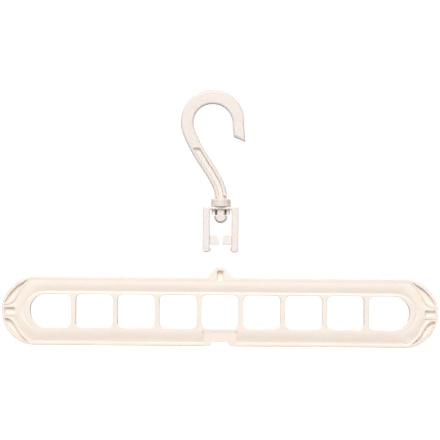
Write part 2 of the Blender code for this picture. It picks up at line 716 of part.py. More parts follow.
def swivel_profile():
    """Collar, pin and snap head, as (radius, z) from the top down."""
    top = COLLAR_FOOT_Z + COLLAR_HEIGHT
    edge = SWIVEL_EDGE
    groove_z = top - COLLAR_HEIGHT / 3
    shoulder = CROSSBAR_Z - HEAD_NECK
    equator = shoulder - HEAD_RIM
    head = arc((0.0, equator), HEAD_RADIUS, 0.0, -math.pi / 2)
    return [(0.0, top + NECK_HEIGHT), (NECK_RADIUS, top + NECK_HEIGHT), (NECK_RADIUS, top),
            (COLLAR_RADIUS - edge, top), (COLLAR_RADIUS, top - edge),
            (COLLAR_RADIUS, groove_z + COLLAR_GROOVE),
            (COLLAR_RADIUS - COLLAR_GROOVE, groove_z),
            (COLLAR_RADIUS, groove_z - COLLAR_GROOVE),
            (COLLAR_RADIUS, COLLAR_FOOT_Z + edge), (COLLAR_RADIUS - edge, COLLAR_FOOT_Z),
            (PIN_RADIUS, COLLAR_FOOT_Z), (PIN_RADIUS, shoulder),
            (HEAD_RADIUS - edge, shoulder), *head[:-1], (0.0, equator - HEAD_RADIUS)]


def pin_cutters():
    """Flats on the pin under the crossbar, and the slot that lets its halves spring."""
    shoulder = CROSSBAR_Z - HEAD_NECK
    waist_top = CROSSBAR_Z - SEAT_GAP
    found = []
    for side in (-1, 1):
        near, far = sorted((side * PIN_WAIST / 2, side * HEAD_RADIUS))
        found.append(box("flat", (near, -HEAD_RADIUS, shoulder), (far, HEAD_RADIUS, waist_top),
                         cutter_collection))
    found.append(box("slot", (-HEAD_RADIUS - PAST, -PIN_SLOT / 2, shoulder - 2 * HEAD_RADIUS),
                     (HEAD_RADIUS + PAST, PIN_SLOT / 2, waist_top), cutter_collection))
    return found


def make_hook(material):
    half = HOOK_THICKNESS / 2
    hook = extruded("swivel_hook", [hook_outline()], -half, half, part_collection, HOOK_ROUND, 1)
    combine(hook, channels(), "DIFFERENCE")
    combine(hook, [turned("swivel", swivel_profile(), cutter_collection)], "UNION")
    combine(hook, pin_cutters(), "DIFFERENCE")
    finish(hook, material)


part_collection, cutter_collection = start_collections()
make_bar(moulded_plastic("bar_polypropylene", (0.90, 0.80, 0.71), 0.42))
make_clip(moulded_plastic("clip_polypropylene", (0.91, 0.83, 0.74), 0.40))
make_hook(moulded_plastic("hook_polypropylene", (0.91, 0.82, 0.74), 0.40))
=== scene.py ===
import math

import bmesh
import bpy
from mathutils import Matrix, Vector
from mathutils.geometry import interpolate_bezier


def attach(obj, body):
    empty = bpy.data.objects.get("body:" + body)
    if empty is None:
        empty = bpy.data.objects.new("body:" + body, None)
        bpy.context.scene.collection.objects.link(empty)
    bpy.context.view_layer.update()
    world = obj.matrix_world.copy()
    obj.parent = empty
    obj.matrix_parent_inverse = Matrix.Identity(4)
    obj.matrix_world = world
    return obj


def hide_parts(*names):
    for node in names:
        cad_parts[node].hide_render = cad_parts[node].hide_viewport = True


mm = 0.001
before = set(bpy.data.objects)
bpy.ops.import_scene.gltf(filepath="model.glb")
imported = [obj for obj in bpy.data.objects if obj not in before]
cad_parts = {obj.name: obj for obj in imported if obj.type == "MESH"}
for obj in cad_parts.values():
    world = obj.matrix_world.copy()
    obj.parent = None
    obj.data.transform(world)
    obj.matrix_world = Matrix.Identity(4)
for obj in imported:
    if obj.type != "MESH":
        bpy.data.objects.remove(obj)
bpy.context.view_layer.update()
print("frame loaded")

mergeWithin = 0.005 * mm           # points closer than this become one when a mesh is mended
mergeOnAxis = 0.01 * mm            # the same for the ends of a turned profile, on its axis
closestPoints = 0.02 * mm          # an outline's points lie at least this far apart
smoothUnder = math.radians(32)     # an edge that bends less is shaded smooth


def between(start, end, share):
    return start + (end - start) * share


# A share from 0 to 1 that starts and ends softly
def eased(share):
    return share * share * (3 - 2 * share)


# Colours and nodes

def srgb(code):
    parts = [int(code[i:i + 2], 16) / 255 for i in (1, 3, 5)]
    return (*[c / 12.92 if c <= 0.04045 else ((c + 0.055) / 1.055) ** 2.4 for c in parts], 1.0)


def addNode(tree, kind, settings=None, **links):
    node = tree.nodes.new(kind)
    for name, value in (settings or {}).items():
        if name in node.inputs:
            node.inputs[name].default_value = value
        else:
            setattr(node, name, value)
    for name, source in links.items():
        tree.links.new(source, node.inputs[name])
    return node


# Moulded polypropylene: ivory, a little translucent, satin from a fine-blasted mould

plastic = {
    "bar": ("#F7EDE3", "#F3E6DB"),      # a warm off-white, and the warmer shade it drifts to
    "hook": ("#E9E0D9", "#E5DCD4"),
    "clip": ("#EFE6E0", "#EBE1DA"),
    "roughness": 0.40,
    "refraction": 1.49,
    "cloudSize": 34.0 * mm,      # slow drift of colour, where the melt flowed
    "cloudDetail": 3.0,
    "grainSize": 0.5 * mm,       # the real blast grain is 0.05 mm, drawn coarser so that it shows
    "grainDetail": 2.0,
    "grainDepth": 0.012 * mm,
    "grainStrength": 0.5,
    "lightShare": 0.5,           # how much of the light goes in under the surface
    "lightDepth": 0.8 * mm,      # how far it runs there
    "lightSpread": (1.0, 0.75, 0.6),      # the same as shares of that depth: red, green, blue
}


def mouldedPolypropylene(name, face, warm):
    material = bpy.data.materials.new(name)
    material.use_nodes = True
    tree = material.node_tree
    shader = tree.nodes["Principled BSDF"]
    place = addNode(tree, "ShaderNodeTexCoord").outputs["Object"]
    cloud = addNode(tree, "ShaderNodeTexNoise",
                    {"Scale": 1 / plastic["cloudSize"], "Detail": plastic["cloudDetail"]},
                    Vector=place)
    # a Mix node's colours go in at 6 and 7 and come out at 2
    tint = addNode(tree, "ShaderNodeMix", {"data_type": "RGBA"})
    tint.inputs[6].default_value = srgb(face)
    tint.inputs[7].default_value = srgb(warm)
    tree.links.new(cloud.outputs["Fac"], tint.inputs[0])
    tree.links.new(tint.outputs[2], shader.inputs["Base Color"])
    grain = addNode(tree, "ShaderNodeTexNoise",
                    {"Scale": 1 / plastic["grainSize"], "Detail": plastic["grainDetail"]},
                    Vector=place)
    bump = addNode(tree, "ShaderNodeBump",
                   {"Strength": plastic["grainStrength"], "Distance": plastic["grainDepth"]},
                   Height=grain.outputs["Fac"])
    tree.links.new(bump.outputs["Normal"], shader.inputs["Normal"])
    shader.inputs["Roughness"].default_value = plastic["roughness"]
    shader.inputs["IOR"].default_value = plastic["refraction"]
    shader.inputs["Subsurface Weight"].default_value = plastic["lightShare"]
    shader.inputs["Subsurface Radius"].default_value = plastic["lightSpread"]
    shader.inputs["Subsurface Scale"].default_value = plastic["lightDepth"]
    return material


# Outlines are lists of (x, z) points, seen from the front

def arc(centre, radius, start, end, steps):
    angles = [start + (end - start) * i / steps for i in range(steps + 1)]
    return [(centre[0] + radius * math.cos(a), centre[1] + radius * math.sin(a)) for a in angles]


# corners are (x, z, radius)
def roundCorners(corners, steps=10):
    points = []
    for i, (x, z, radius) in enumerate(corners):
        here = Vector((x, z))
        before = (Vector(corners[i - 1][:2]) - here).normalized()
        after = (Vector(corners[(i + 1) % len(corners)][:2]) - here).normalized()
        halfAngle = before.angle(after) / 2
        centre = here + (before + after).normalized() * radius / math.sin(halfAngle)
        start = here + before * radius / math.tan(halfAngle) - centre
        end = here + after * radius / math.tan(halfAngle) - centre
        first = math.atan2(start.y, start.x)
        points += arc(centre, radius, first, first - start.angle_signed(end), steps)
    return [p for i, p in enumerate(points) if math.dist(p, points[i - 1]) > closestPoints]


def mirrored(points):
    return [(-x, z) for x, z in reversed(points)]


# Modelling helpers

def pick(piece):
    bpy.ops.object.select_all(action="DESELECT")
    piece.select_set(True)
    bpy.context.view_layer.objects.active = piece


def mend(piece):
    pick(piece)
    bpy.ops.object.mode_set(mode="EDIT")
    bpy.ops.mesh.select_all(action="SELECT")
    bpy.ops.mesh.remove_doubles(threshold=mergeWithin)
    bpy.ops.mesh.dissolve_degenerate(threshold=mergeWithin)
    bpy.ops.mesh.select_all(action="SELECT")
    bpy.ops.mesh.normals_make_consistent(inside=False)
    bpy.ops.object.mode_set(mode="OBJECT")


# An outline given thickness, its edges rounded by soft
def flatSolid(name, outline, yFrom, yTo, soft=0.0, facets=0):
    curve = bpy.data.curves.new(name, "CURVE")
    curve.dimensions = "2D"
    curve.fill_mode = "BOTH"
    curve.extrude = (yTo - yFrom) / 2 - soft
    curve.bevel_depth = soft
    curve.bevel_resolution = facets
    curve.offset = -soft
    spline = curve.splines.new("POLY")
    spline.points.add(len(outline) - 1)
    for point, (x, z) in zip(spline.points, outline):
        point.co = (x, z, 0.0, 1.0)
    spline.use_cyclic_u = True
    solid = bpy.data.objects.new(name, curve)
    bpy.context.scene.collection.objects.link(solid)
    pick(solid)
    solid.rotation_euler = (math.radians(90), 0.0, 0.0)
    solid.location = (0.0, (yFrom + yTo) / 2, 0.0)
    bpy.ops.object.convert(target="MESH")
    bpy.ops.object.transform_apply(location=True, rotation=True, scale=True)
    mend(solid)
    return solid


# A closed skin over a row of rings that have the same number of points
def skinned(name, sections):
    shape = bmesh.new()
    rings = [[shape.verts.new(point) for point in section] for section in sections]
    for ring, following in zip(rings, rings[1:]):
        for i in range(len(ring)):
            j = (i + 1) % len(ring)
            shape.faces.new((ring[i], ring[j], following[j], following[i]))
    shape.faces.new(rings[0][::-1])
    shape.faces.new(rings[-1])
    bmesh.ops.triangulate(shape, faces=shape.faces)
    bmesh.ops.recalc_face_normals(shape, faces=shape.faces)
    mesh = bpy.data.meshes.new(name)
    shape.to_mesh(mesh)
    shape.free()
    solid = bpy.data.objects.new(name, mesh)
    bpy.context.scene.collection.objects.link(solid)
    return solid


def block(name, low, high, soft=0.0, facets=3):
    size = [b - a for a, b in zip(low, high)]
    middle = [(a + b) / 2 for a, b in zip(low, high)]
    bpy.ops.mesh.primitive_cube_add(size=1.0, location=middle)
    solid = bpy.context.active_object
    solid.name = name
    pick(solid)
    solid.scale = size
    bpy.ops.object.transform_apply(location=True, rotation=True, scale=True)
    if soft:
        applied(solid, "BEVEL", width=soft, segments=facets)
    return solid


def applied(piece, kind, **settings):
    pick(piece)
    modifier = piece.modifiers.new(kind, kind)
    for name, value in settings.items():
        setattr(modifier, name, value)
    bpy.ops.object.modifier_apply(modifier=modifier.name)


def openEdges(piece):
    shape = bmesh.new()
    shape.from_mesh(piece.data)
    count = sum(len(edge.link_faces) != 2 for edge in shape.edges)
    shape.free()
    return count


def join(piece, others, how):
    for other in others:
        applied(piece, "BOOLEAN", operation=how, object=other, solver="MANIFOLD")
        bpy.data.objects.remove(other, do_unlink=True)
    mend(piece)
    print(piece.name, how.lower(), openEdges(piece), "open edges")


def finishPiece(piece, material, body, node):
    pick(piece)
    piece.data.materials.clear()
    piece.data.materials.append(material)
    bpy.ops.object.shade_smooth_by_angle(angle=smoothUnder)
    applied(piece, "WEIGHTED_NORMAL", keep_sharp=True)
    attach(piece, body)
    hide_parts(node)
    count = sum(len(face.vertices) - 2 for face in piece.data.polygons)
    print(piece.name, "finished,", count, "triangles")


def millimetres(**values):
    return {name: value * mm for name, value in values.items()}


# Bar: a moulding with rounded rims and a crowned face, cored out from behind

bar = millimetres(
    length=375.0, height=59.0, thickness=10.0, rail=15.1, edgeRound=0.6,
    outerRim=1.7, innerRim=2.3, endRim=3.7, lowerOuterRim=2.3, upperInnerRim=0.8,
    lowerFlank=0.7, upperFlank=1.7, softFlank=2.6, lowerDip=2.0, upperDip=1.6, softDip=0.3,
    crownDepth=0.05, seamLift=0.02, skin=1.8,
    webWidth=4.1, webWall=1.3, endWindow=35.2, endLand=24.35, windowCorner=5.0, windowRound=0.5,
    rib=1.6,
    socketWidth=5.2, socketLength=8.8, socketWeb=2.2, endSocketWeb=3.8, socketWall=2.0, socketCorner=0.5,
    bossCorner=2.4, endBridge=2.6,
    earHeight=9.4, earTop=6.6, earSpread=7.4, earBridge=3.4, earTopRound=5.2, earFootRound=6.5,
    pocketWidth=5.0, pocketRim=1.2, pocketDepth=3.5, pocketFloor=1.6, lip=1.3,
    blockWidth=27.0, blockRib=1.7, blockSink=0.35, blockGroove=1.4, blockFoot=2.5, blockTrench=1.5,
    notchWidth=13.4, notchFlare=2.2, notchHeight=3.6, notchWall=1.4, past=1.0)
windowCount = 9
pocketFrom, pocketTo, lipSpread = math.radians(14), math.radians(76), math.radians(4)
crownAt = (1.0, 0.35)      # where the face is highest, lower and upper rail: share of the way in
leastShare = 0.01          # keeps a crown at the very end of that way from a division by nothing

half = bar["thickness"] / 2
midZ = bar["height"] / 2
endCentre = (bar["length"] - bar["height"]) / 2
windowHeight = bar["height"] - 2 * bar["rail"]
windowEnd = bar["length"] / 2 - bar["endLand"]
endWindowCentre = windowEnd - windowHeight / 2
innerCount = windowCount - 2
windowWidth = (2 * (windowEnd - bar["endWindow"]) - (innerCount + 1) * bar["webWidth"]) / innerCount
pitch = windowWidth + bar["webWidth"]
windowCentres = [(i - (innerCount - 1) / 2) * pitch for i in range(innerCount)]
webCentres = [(i - innerCount / 2) * pitch for i in range(innerCount + 1)]
endRibX = endWindowCentre - bar["rib"]
rimRadius = midZ - bar["outerRim"]
endFaceCentre = endWindowCentre + bar["endRim"] - bar["innerRim"]
earTopZ = bar["height"] + bar["earHeight"]


def barOutline():
    top, foot, end = bar["earTop"] / 2, bar["earTop"] / 2 + bar["earSpread"], bar["length"] / 2
    ends = [(-end, 0.0, midZ), (-end, bar["height"], midZ)]
    ear = [(-foot, bar["height"], bar["earFootRound"]), (-top, earTopZ, bar["earTopRound"])]
    left = ends + ear
    right = [(-x, z, radius) for x, z, radius in reversed(left)]
    return roundCorners(left + right, steps=24)


# One window, its edges rounded at the front and at the back. rims are (y, how much wider), from
# before the front inwards.
def windowCutter(left, right, leftRound, rightRound):
    low, high, soft = bar["rail"], bar["height"] - bar["rail"], bar["windowRound"]
    rims = [(-half - soft / 2, soft * 1.5), (-half, soft)]
    turns = [math.radians(a) for a in range(18, 91, 18)]
    rims += [(-half + soft * (1 - math.cos(a)), soft * (1 - math.sin(a))) for a in turns]
    sections = []
    for y, grow in rims + [(-y, grow) for y, grow in reversed(rims)]:
        near, far = leftRound + grow, rightRound + grow
        corners = [(left - grow, low - grow, near), (left - grow, high + grow, near),
                   (right + grow, high + grow, far), (right + grow, low - grow, far)]
        sections.append([(x, y, z) for x, z in roundCorners(corners, steps=14)])
    return skinned("window", sections)


def windowCutters():
    near, bow, corner = windowEnd - bar["endWindow"], windowHeight / 2, bar["windowCorner"]
    cutters = [windowCutter(x - windowWidth / 2, x + windowWidth / 2, corner, corner)
               for x in windowCentres]
    return cutters + [windowCutter(near, windowEnd, corner, bow),
                      windowCutter(-windowEnd, -near, bow, corner)]


# Distance from the end's centre to a pocket's outer side (depth 0), to its inner side or, with a
# spread, to the face beyond its lip. Away from the tip of the bar the rim widens over the first
# half of the pocket, and narrows again over its last fifth.
def lensEdge(angle, spread, depth):
    share = (abs(angle) - pocketFrom + spread) / (pocketTo - pocketFrom + 2 * spread)
    if not 0.0 < share < 1.0:
        return rimRadius
    growth = bar["pocketRim"] * math.sin(math.pi / 2 * min(1.0, 2 * share, 5 * (1 - share)))
    return rimRadius - depth * math.sin(math.pi * math.sqrt(share)) - growth


# How much narrower the outer and the inner rim are at the front than at the back. The outer one
# widens towards the lower rail, so its value is below 0 there, and the inner one narrows upwards.
def rimChange(angle):
    low = max(0.0, -angle - pocketTo - lipSpread) / (math.pi / 2 - pocketTo - lipSpread)
    high = max(0.0, math.sin(angle)) ** 2
    return ((bar["outerRim"] - bar["lowerOuterRim"]) * eased(low),
            (bar["innerRim"] - bar["upperInnerRim"]) * high)


# Outer and inner edge of the crowned face, round the right end
def endStations(steps=72, front=False):
    stations = []
    for i in range(steps + 1):
        angle = math.pi * (i / steps - 0.5)
        way = Vector((math.cos(angle), math.sin(angle)))
        outerChange, innerChange = rimChange(angle) if front else (0.0, 0.0)
        outer = lensEdge(angle, lipSpread, bar["pocketWidth"] + bar["lip"]) + outerChange
        inner = windowHeight / 2 + bar["innerRim"] - innerChange
        stations.append((Vector((endCentre, midZ)) + outer * way,
                         Vector((endFaceCentre, midZ)) + inner * way))
    return stations


# The same at one place along a rail, where side is 1 for the upper rail and -1 for the lower
def railStation(x, side, front=False):
    outerChange, innerChange = rimChange(side * math.pi / 2) if front else (0.0, 0.0)
    return (Vector((x, midZ + side * (rimRadius + outerChange))),
            Vector((x, midZ + side * (windowHeight / 2 + bar["innerRim"] - innerChange))))


def flipped(stations):
    return [tuple(Vector((-edge.x, edge.y)) for edge in pair) for pair in reversed(stations)]


# Depth of the face under the rims. The crown runs out softly under the flank that faces down
# and meets the one that faces up in a narrow groove.
def faceDepth(distance, width, up):
    lift = (1 + up) / 2      # 0 on the lower rail and 1 on the upper
    share = distance / width
    outerFlank = between(bar["lowerFlank"], bar["softFlank"], lift)
    outerDip = between(bar["lowerDip"], bar["softDip"], lift)
    innerFlank = between(bar["softFlank"], bar["upperFlank"], lift)
    innerDip = between(bar["softDip"], bar["upperDip"], lift)
    top = between(*crownAt, lift)
    if share < top:
        fall, across = outerDip - bar["crownDepth"], 1 - share / top
    else:
        fall, across = innerDip - bar["crownDepth"], (share - top) / max(1 - top, leastShare)
    crown = bar["crownDepth"] + fall * across ** 2
    return crown * eased(min(1.0, distance / outerFlank, (width - distance) / innerFlank))


# The cutter's section from an outer edge to an inner one, open towards yOpen. Its two edges lie
# a little too high, so that they don't coincide with the rims.
def faceSection(edges, yOpen, sink, steps):
    outer, inner = edges
    width = (outer - inner).length
    up = (outer - inner).normalized().y
    section = []
    for i in range(steps + 1):
        share = (1 - math.cos(math.pi * i / steps)) / 2      # closer together over the flanks
        point = outer.lerp(inner, share)
        depth = faceDepth(share * width, width, up) + sink
        if i in (0, steps):
            depth -= bar["seamLift"]
        section.append((point.x, depth - half, point.y))
    return section + [(inner.x, yOpen, inner.y), (outer.x, yOpen, outer.y)]


def faceCutter(name, stations, yOpen, sink, steps=26):
    return skinned(name, [faceSection(edges, yOpen, sink, steps) for edges in stations])


def frontFace():
    start = (bar["blockWidth"] + bar["blockGroove"]) / 2
    right = [railStation(start, -1, front=True), railStation(endRibX, -1, front=True),
             *endStations(front=True), railStation(endRibX, 1, front=True)]
    return faceCutter("face", right + flipped(right), -half - bar["past"], 0.0)


# Hollows behind the face, with a cross rib between each two. In the middle they stop at the
# ear's sockets above and at the block below.
def backCells():
    stops, rib = [-endRibX, *windowCentres, endRibX], bar["rib"]
    cells = []
    for side, middle in ((1, bar["socketWidth"] / 2 + bar["socketWall"]),
                         (-1, bar["blockWidth"] / 2 + rib / 2)):
        for left, right in zip(stops, stops[1:]):
            left += middle if abs(left) < rib else rib / 2
            right -= middle if abs(right) < rib else rib / 2
            cells.append(faceCutter("cell", [railStation(left, side), railStation(right, side)],
                                    half + bar["past"], bar["skin"], steps=10))
    end = [railStation(endRibX + rib / 2, -1), *endStations(steps=48),
           railStation(endRibX + rib / 2, 1)]
    for stations in (end, flipped(end)):
        cells.append(faceCutter("endCell", stations, half + bar["past"], bar["skin"], steps=10))
    return cells


def webCores():
    reach = windowHeight / 2 + bar["innerRim"] + bar["past"]
    width = bar["webWidth"] / 2 - bar["webWall"]
    return [block("webCore", (x - width, bar["skin"] - half, midZ - reach),
                  (x + width, half + bar["past"], midZ + reach)) for x in webCentres]


# Four lenses sunk from the front and cored from behind, with a floor between
def pockets():
    steps = 30
    angles = [pocketFrom + (pocketTo - pocketFrom) * i / steps for i in range(steps + 1)]
    sides = [[(endCentre + lensEdge(a, 0.0, depth) * math.cos(a),
               midZ + lensEdge(a, 0.0, depth) * math.sin(a)) for a in angles]
             for depth in (0.0, bar["pocketWidth"])]
    upper = sides[0] + sides[1][-2:0:-1]
    lower = [(x, bar["height"] - z) for x, z in reversed(upper)]
    floor = bar["pocketDepth"] - half
    cutters = []
    for outline in (upper, lower, mirrored(upper), mirrored(lower)):
        cutters.append(flatSolid("pocket", outline, -half - bar["past"], floor))
        cutters.append(flatSolid("pocket", outline, floor + bar["pocketFloor"], half + bar["past"]))
    return cutters


def socketBosses():
    tip = bar["length"] / 2 - bar["outerRim"] / 2
    foot = tip - bar["socketLength"] - bar["socketWall"] - bar["endBridge"] + bar["outerRim"] / 2
    high = bar["socketWidth"] / 2 + bar["socketWall"]
    soft, tipSoft = bar["bossCorner"], bar["outerRim"] / 4
    right = roundCorners([(foot, midZ - high, soft), (foot, midZ + high, soft),
                          (tip, midZ + high, tipSoft), (tip, midZ - high, tipSoft)])
    inset = bar["crownDepth"] / 2
    return [flatSolid("boss", outline, inset - half, half - inset)
            for outline in (right, mirrored(right))]


# One in the ear and one at each end, each from the front and from the back
def sockets():
    top, end = earTopZ - bar["earBridge"], bar["length"] / 2 - bar["endBridge"]
    wide, long = bar["socketWidth"] / 2, bar["socketLength"]
    cutters = []
    for left, right, low, high, web in (
            (-wide, wide, top - long, top, bar["socketWeb"]),
            (end - long, end, midZ - wide, midZ + wide, bar["endSocketWeb"]),
            (-end, long - end, midZ - wide, midZ + wide, bar["endSocketWeb"])):
        for yFrom, yTo in ((-half - bar["past"], -web / 2), (web / 2, half + bar["past"])):
            cutters.append(block("socket", (left, yFrom, low), (right, yTo, high), bar["socketCorner"]))
    return cutters


# The sunk panel between the block's ribs, the grooves outside them, and the notch
def blockCutters():
    high, edge = bar["rail"] - bar["innerRim"], bar["blockWidth"] / 2
    inside, past = edge - bar["blockRib"], bar["past"]
    cutters = [block("panel", (-inside, -half - past, -past), (inside, bar["blockSink"] - half, high))]
    for near, far in ((edge, edge + bar["blockGroove"]), (-edge - bar["blockGroove"], -edge)):
        cutters.append(block("groove", (near, -half - past, bar["blockFoot"]),
                             (far, bar["blockTrench"] - half, high)))
    side, mouth = bar["notchWidth"] / 2, bar["notchWidth"] / 2 + bar["notchFlare"]
    notch = [(-mouth, -past), (-side, bar["notchHeight"]), (side, bar["notchHeight"]), (mouth, -past)]
    cutters.append(flatSolid("notch", notch, -half - past, half + past))
    cutters.append(block("core", (-inside, bar["blockSink"] + bar["skin"] - half,
                                  bar["notchHeight"] + bar["notchWall"]), (inside, half + past, high)))
    return cutters


def makeBar():
    piece = flatSolid("hangerBar", barOutline(), -half, half, bar["edgeRound"], facets=3)
    join(piece, [*windowCutters(), frontFace()], "DIFFERENCE")
    join(piece, [*backCells(), *webCores(), *pockets()], "DIFFERENCE")
    join(piece, socketBosses(), "UNION")
    join(piece, [*sockets(), *blockCutters()], "DIFFERENCE")
    finishPiece(piece, mouldedPolypropylene("barPolypropylene", *plastic["bar"]),
                "bar", "hanger_bar")


makeBar()


# Clip: a fork with two pegs for the ear's sockets and two lugs round the pin

clip = millimetres(
    inner=19.0, outer=30.4, foot=80.7, height=39.2, crossbar=2.6, depth=12.0, edgeRound=1.0,
    corner=1.4, footRound=2.4, heelRound=1.2,
    pegWidth=4.6, pegHeight=8.2, pegAbove=6.4, pegTip=1.4, pegSlope=1.4, pegCorner=0.5,
    toeLength=1.7, toeTop=5.0, toeWidth=6.0,
    lugRadius=7.8, lugLength=4.6, lugWidth=5.2, lugRound=0.5, bore=4.9, boreChamfer=0.4,
    sleeveBack=5.7, sleeveMouth=9.8)
clipTopZ = clip["foot"] + clip["height"]
crossbarZ = clipTopZ - clip["crossbar"]


def clipOutline():
    inner, outer, foot, corner = clip["inner"] / 2, clip["outer"] / 2, clip["foot"], clip["corner"]
    right = [(outer, clipTopZ, corner), (outer, foot, clip["footRound"]),
             (inner, foot, clip["heelRound"]), (inner, crossbarZ, corner)]
    left = [(-x, z, radius) for x, z, radius in reversed(right)]
    return roundCorners(right + left, steps=14)


def pegsAndToes():
    root, inner = (clip["inner"] + clip["outer"]) / 4, clip["inner"] / 2
    low, soft = clip["foot"] + clip["pegAbove"], clip["pegCorner"]
    high, tip = low + clip["pegHeight"], clip["pegTip"]
    peg = roundCorners([(tip, low, soft), (tip + clip["pegSlope"], high, soft),
                        (root, high, soft), (root, low, soft)], steps=6)
    toe, toeTop = inner - clip["toeLength"], clip["foot"] + clip["toeTop"]
    toeFoot = clip["foot"] + clip["toeLength"] / 2
    wedge = roundCorners([(toe, toeFoot, soft), (toe, toeTop - clip["toeLength"], soft),
                          (root, toeTop, soft), (root, toeFoot, soft)], steps=6)
    parts = []
    for outline, width in ((peg, clip["pegWidth"]), (wedge, clip["toeWidth"])):
        parts += [flatSolid("peg", side, -width / 2, width / 2, soft / 2, facets=2)
                  for side in (outline, mirrored(outline))]
    return parts


# A sleeve round the pin, open at the front between its two lugs
def lugs():
    low, high = crossbarZ - clip["lugLength"], clipTopZ - clip["crossbar"] / 2
    radius, soft = clip["lugRadius"], clip["lugRound"]
    bend = soft * 0.3      # how far the middle of the rounding lies in from both faces
    ring = turned("lugs", [(0.0, high), (radius, high), (radius, low + soft),
                           (radius - bend, low + bend), (radius - soft, low), (0.0, low)])
    reach, width = 2 * radius, clip["lugWidth"] / 2
    sides = block("lugSides", (-reach, -width, low - soft), (reach, clip["sleeveBack"], high + soft))
    join(ring, [sides], "INTERSECT")
    mouth, mouthTop = clip["sleeveMouth"] / 2, crossbarZ + clip["crossbar"] / 4
    join(ring, [block("mouth", (-mouth, -reach, low - reach), (mouth, 0.0, mouthTop))], "DIFFERENCE")
    return ring


# (radius, z) points from the top down, spun round the swivel axis
def turned(name, profile, segments=96):
    shape = bmesh.new()
    points = [shape.verts.new((radius, 0.0, z)) for radius, z in profile]
    for pair in zip(points, points[1:]):
        shape.edges.new(pair)
    mesh = bpy.data.meshes.new(name)
    shape.to_mesh(mesh)
    shape.free()
    solid = bpy.data.objects.new(name, mesh)
    bpy.context.scene.collection.objects.link(solid)
    applied(solid, "SCREW", steps=segments, render_steps=segments, use_merge_vertices=True,
            merge_threshold=mergeOnAxis)
    mend(solid)
    return solid


def makeClip():
    piece = flatSolid("snapClip", clipOutline(), -clip["depth"] / 2, clip["depth"] / 2,
                      clip["edgeRound"], facets=4)
    join(piece, [*pegsAndToes(), lugs()], "UNION")
    low, bore, chamfer = crossbarZ - clip["lugLength"], clip["bore"], clip["boreChamfer"]
    hole = turned("bore", [(0.0, clipTopZ + bore), (bore + chamfer, clipTopZ + bore),
                           (bore + chamfer, clipTopZ), (bore, clipTopZ - chamfer),
                           (bore, low - bore), (0.0, low - bore)])
    join(piece, [hole], "DIFFERENCE")
    finishPiece(piece, mouldedPolypropylene("clipPolypropylene", *plastic["clip"]),
                "clip", "snap_clip")


makeClip()


# Hook: a flat hook with soft edges, a channel down each face of its stem, collar and split pin

hook = millimetres(
    innerRadius=17.19, offset=-7.45, centre=192.2, thickness=6.6, edgeRound=1.9,
    widthTip=9.8, widthTop=12.4, widthStem=10.8, widthFoot=10.4, tipDrop=12.3,
    handleTop=28.3, handleFoot=16.2, stemFoot=128.2,
    channelWidth=5.5, channelFootWidth=4.4, channelDepth=2.4, channelDrop=21.8,
    channelShelf=2.6, channelFlank=0.45,
    neckRadius=4.3, neckHeight=1.7, collarRadius=8.5, collarTop=126.5, collarFoot=119.92,
    collarGroove=0.35, collarRound=0.7, pinRadius=4.6, pinWaist=6.4, pinSlot=1.4,
    headRadius=5.6, headNeck=5.0, headRim=1.1, headRound=0.5, pinDepth=8.2, waistGap=0.3,
    past=1.0)
tipLean, tipCut, stemLean = math.radians(5.7), math.radians(27), math.radians(21.3)
tipSteps, stemPoints = 4, 50
# The channel's section from the face inwards: shares of channelDepth, channelFlank and channelShelf
channelLevels = ((0.0, 0.0, 0.0), (0.75, 1.0, 0.6), (1.0, 2.0, 1.0))
channelFlare = (-1.0, -0.4)      # the last two where the cutter starts, before the face


# Middle line from the tip round to the foot, with the width at each point
def hookSpine():
    radius = hook["innerRadius"] + hook["widthTip"] / 2
    sweep = math.pi + stemLean
    arch = arc((hook["offset"], hook["centre"]), radius, -tipLean, sweep, steps=90)
    first, drop = Vector(arch[0]), Vector((math.sin(tipLean), -math.cos(tipLean))) * hook["tipDrop"]
    spine = [(first + drop * i / tipSteps, hook["widthTip"]) for i in range(tipSteps, 0, -1)]
    topShare = (math.pi / 2 + tipLean) / (sweep + tipLean)
    for i, point in enumerate(arch):
        share = i / (len(arch) - 1)
        if share < topShare:
            ease = math.sin(math.pi / 2 * share / topShare)
            width = between(hook["widthTip"], hook["widthTop"], ease)
        else:
            ease = math.sin(math.pi / 2 * (share - topShare) / (1 - topShare))
            width = between(hook["widthTop"], hook["widthStem"], ease)
        spine.append((Vector(point), width))
    leave = Vector((math.sin(stemLean), -math.cos(stemLean)))
    last, foot = Vector(arch[-1]), Vector((0.0, hook["stemFoot"]))
    handles = (last + leave * hook["handleTop"], foot + Vector((0.0, hook["handleFoot"])))
    stem = interpolate_bezier(last, *handles, foot, stemPoints)
    for i, point in enumerate(stem[1:]):
        width = between(hook["widthStem"], hook["widthFoot"], (i + 1) / (len(stem) - 1))
        spine.append((Vector(point[:2]), width))
    return spine


# Both sides of a band along the spine, as wide as widthOf makes of the hook's own width there
def bandSides(spine, widthOf):
    left, right = [], []
    for i, (point, width) in enumerate(spine):
        ahead = (spine[min(i + 1, len(spine) - 1)][0] - spine[max(i - 1, 0)][0]).normalized()
        across = Vector((-ahead.y, ahead.x)) * widthOf(width) / 2
        left.append(point + across)
        right.append(point - across)
    return left, right


def hookOutline():
    inner, outer = bandSides(hookSpine(), lambda width: width)
    slant = math.tan(tipCut) * hook["widthTip"] / 2
    outer[0].y -= slant
    inner[0].y += slant
    sink = Vector((0.0, -hook["neckHeight"] / 2))
    outline = outer + [outer[-1] + sink, inner[-1] + sink] + inner[::-1]
    return [(point.x, point.y) for point in outline]


# Where a side that runs down is at a given height
def alongSide(points, height):
    for above, below in zip(points, points[1:]):
        if below.y <= height:
            break
    return between(above.x, below.x, (above.y - height) / (above.y - below.y))


